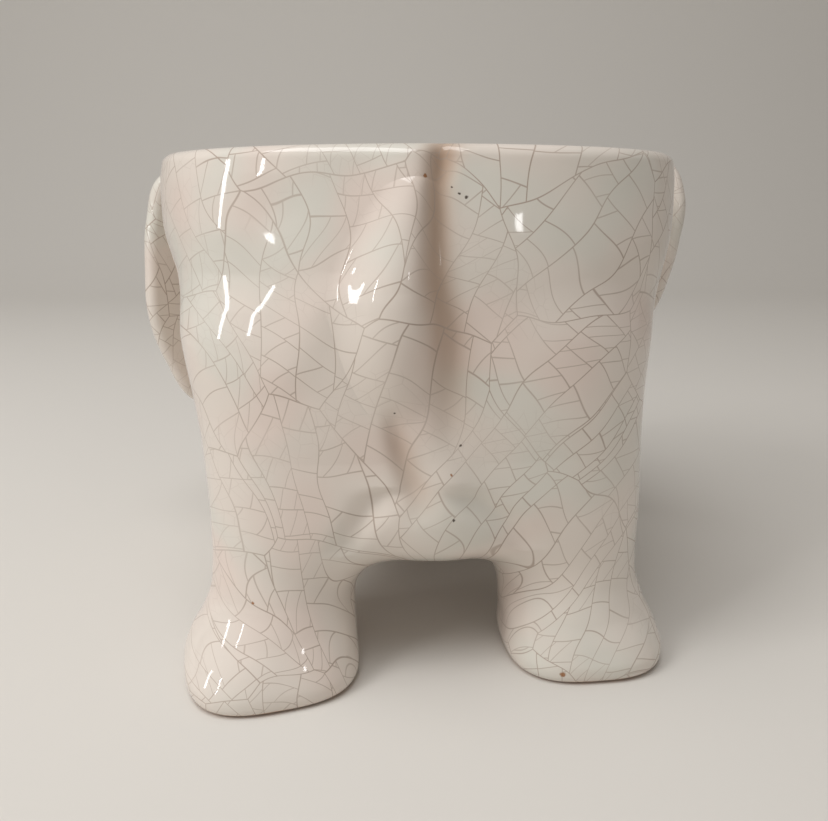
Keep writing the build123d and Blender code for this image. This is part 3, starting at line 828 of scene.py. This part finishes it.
def make_eye(node):
    """Eye: a ball by two angles, half sunk in the head."""
    low, high = node_box(node)
    centre = (low + high) / 2
    turns, rows = 48, 24
    turn = np.arange(turns)[None, :] * 2 * np.pi / turns
    rise = np.radians(np.linspace(-86.0, 86.0, rows))[:, None]
    ball = np.stack([np.cos(rise) * np.cos(turn), np.cos(rise) * np.sin(turn), np.sin(rise) + 0 * turn], -1)
    points = (ball * EYE_RADIUS + centre).reshape(-1, 3)
    ends = np.stack([centre - [0.0, 0.0, EYE_RADIUS], centre + [0.0, 0.0, EYE_RADIUS]])
    column = np.arange(turns)
    after = (column + 1) % turns
    last = (rows - 1) * turns
    tris = np.concatenate([
        np.stack([np.full(turns, len(points)), after, column], 1),
        np.stack([np.full(turns, len(points) + 1), last + column, last + after], 1),
    ])
    points = np.concatenate([points, ends])
    clay_piece(node, points, points - centre, grid_faces(rows, turns), tris)


crackle_glaze = make_crackle_glaze()
make_pot()
make_leg("hind_leg_left", HIND_LEGS[-1], -1, HIND_STAGGER)
make_leg("hind_leg_right", HIND_LEGS[1], 1, HIND_STAGGER)
make_leg("fore_leg_left", FORE_LEG, -1, 0.0)
make_leg("fore_leg_right", FORE_LEG, 1, 0.0)
luted_piece("tail", tail_field, pot_field, TAIL_BLEND, *TAIL_ROOM, TAIL_STEP, LUTE_TOP)
luted_piece("head", head_field, pot_field, HEAD_BLEND, *HEAD_ROOM, top=LUTE_TOP, sheet=head_sheet)
luted_piece("trunk", trunk_field, head_field, TRUNK_BLEND, *TRUNK_ROOM, sheet=head_sheet)
make_ear("ear_left", -1)
make_ear("ear_right", 1)
make_eye("eye_left")
make_eye("eye_right")


def make_stage():
    """Pale sheet that runs from the floor up behind in one curve, narrow lights from the left and the
    right, broad ones from the upper left and from above, and even light from all round."""
    scene = bpy.context.scene
    reach, bend_start, bend_radius = 3.0, 0.7, 0.6
    bend = np.radians(np.linspace(0.0, 90.0, 25))
    curve = np.stack([bend_start + bend_radius * np.sin(bend), bend_radius - bend_radius * np.cos(bend)], 1)
    profile = np.concatenate([[[-reach, 0.0]], curve, [[bend_start + bend_radius, reach]]])
    rows = len(profile)
    sides = np.repeat([[-reach], [reach]], rows, 1)
    sheet = np.stack([sides, *np.broadcast_to(profile.T[:, None], (2, 2, rows))], -1)
    low = np.arange(rows - 1)
    mesh = bpy.data.meshes.new("backdrop")
    mesh.from_pydata(sheet.reshape(-1, 3), [], np.stack([low, rows + low, rows + low + 1, low + 1], 1))
    mesh.shade_smooth()
    backdrop = bpy.data.objects.new("backdrop", mesh)
    scene.collection.objects.link(backdrop)
    pale = bpy.data.materials.new("pale_paper")
    pale.use_nodes = True
    paper = pale.node_tree.nodes["Principled BSDF"].inputs
    paper["Base Color"].default_value = linear(PAPER)
    paper["Roughness"].default_value = 0.8
    paper["Specular IOR Level"].default_value = 0.2
    mesh.materials.append(pale)
    world = bpy.data.worlds.new("studio")
    scene.world = world
    world.use_nodes = True
    background = world.node_tree.nodes["Background"]
    background.inputs["Color"].default_value = linear(STUDIO_LIGHT)
    background.inputs["Strength"].default_value = STUDIO_STRENGTH
    for name, spot, width, height, power in LAMPS:
        light = bpy.data.lights.new(name, "AREA")
        light.shape = "RECTANGLE"
        light.size, light.size_y = width, height
        light.energy = power
        lamp = bpy.data.objects.new(name, light)
        lamp.visible_glossy = name != "left_panel"  # too broad to be seen in the glaze
        scene.collection.objects.link(lamp)
        lamp.matrix_world = look_along(np.array(LAMP_AIM) - np.array(spot), spot)


def look_along(direction, spot):
    """Place of a lamp or camera at a spot, looking along a direction with its top up."""
    look = np.array(direction) / np.linalg.norm(direction)
    right = np.cross(look, (0.0, 0.0, 1.0))
    right = right / np.linalg.norm(right)
    up = np.cross(right, look)
    turn = np.eye(4)
    turn[:3, 0], turn[:3, 1], turn[:3, 2], turn[:3, 3] = right, up, -look, spot
    return Matrix(turn.tolist())


def make_camera():
    """Camera behind the elephant, a little to its left and below the rim, looking down on the rump."""
    image_width, sensor_width = 828.0, 36.0
    focal_pixels = 771.0
    yaw = math.radians(2.3)
    pitch = math.radians(16.64)
    back, sideways, eye_height = 260.0, -1.0, 141.6
    data = bpy.data.cameras.new("camera")
    data.sensor_fit = "HORIZONTAL"
    data.sensor_width = sensor_width
    data.lens = sensor_width * focal_pixels / image_width
    data.clip_start = 0.01
    forward = np.array([math.sin(yaw), math.cos(yaw), 0.0])
    right = np.array([math.cos(yaw), -math.sin(yaw), 0.0])
    spot = -back * forward + sideways * right + np.array([0.0, AXIS_Y, eye_height])
    camera = bpy.data.objects.new("camera", data)
    bpy.context.scene.collection.objects.link(camera)
    look = forward * math.cos(pitch) - np.array([0.0, 0.0, math.sin(pitch)])
    camera.matrix_world = look_along(look, spot * MM)
    bpy.context.scene.camera = camera


make_stage()
make_camera()
bpy.context.scene.view_settings.view_transform = "Standard"
